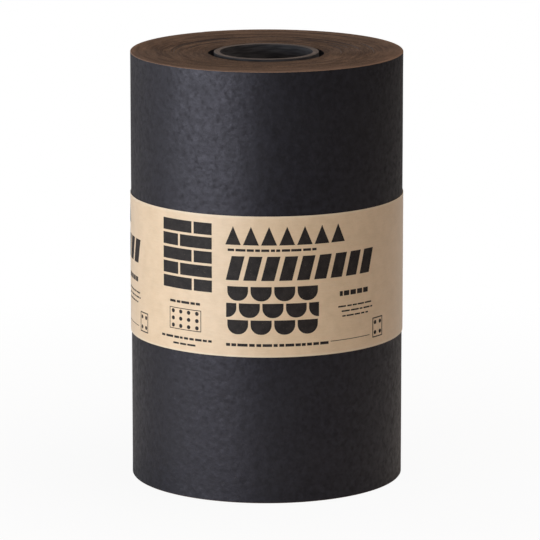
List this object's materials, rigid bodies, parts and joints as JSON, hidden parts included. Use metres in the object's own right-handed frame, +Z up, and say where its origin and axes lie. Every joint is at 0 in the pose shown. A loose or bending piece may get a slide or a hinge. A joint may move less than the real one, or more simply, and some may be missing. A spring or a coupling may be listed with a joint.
{
  "type": "roll of roofing felt",
  "caption": "Roll of dark roofing felt standing on its end, wound on a cardboard tube, with a kraft paper band round its middle.",
  "frame": {"origin": "centre of the roll's lower end, on the floor that it stands on", "axes": "+Z up the roll's axis, +Y towards the side with the sheet's loose end, +X to the right"},
  "size_m": [0.2905, 0.2912, 0.4572],
  "materials": {
    "felt": "matte",
    "core": "matte",
    "band": "matte",
    "ink": "matte"
  },
  "bodies": {
    "root": {"felt_roll": "felt", "core_tube": "core", "label_band": "band"}
  },
  "joints": []
}
